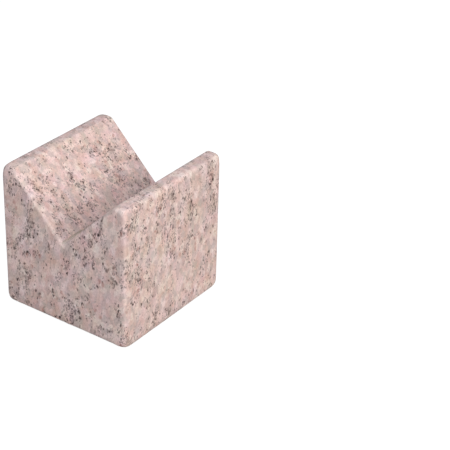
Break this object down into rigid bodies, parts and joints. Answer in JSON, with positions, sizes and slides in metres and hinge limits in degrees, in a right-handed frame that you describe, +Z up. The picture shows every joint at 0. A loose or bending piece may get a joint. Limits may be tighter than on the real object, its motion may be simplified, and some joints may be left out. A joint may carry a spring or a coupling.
{
  "type": "v block",
  "caption": "Granite V block: a stone cube with a centred 90-degree V along its top, which cradles round work for inspection and marking out.",
  "frame": {"origin": "middle of the base", "axes": "+X across the V, +Y along the V, +Z up"},
  "size_m": [0.1016, 0.1016, 0.1016],
  "materials": {
    "granite": "honed, matt"
  },
  "bodies": {
    "root": {"v_block": "granite"}
  },
  "joints": []
}
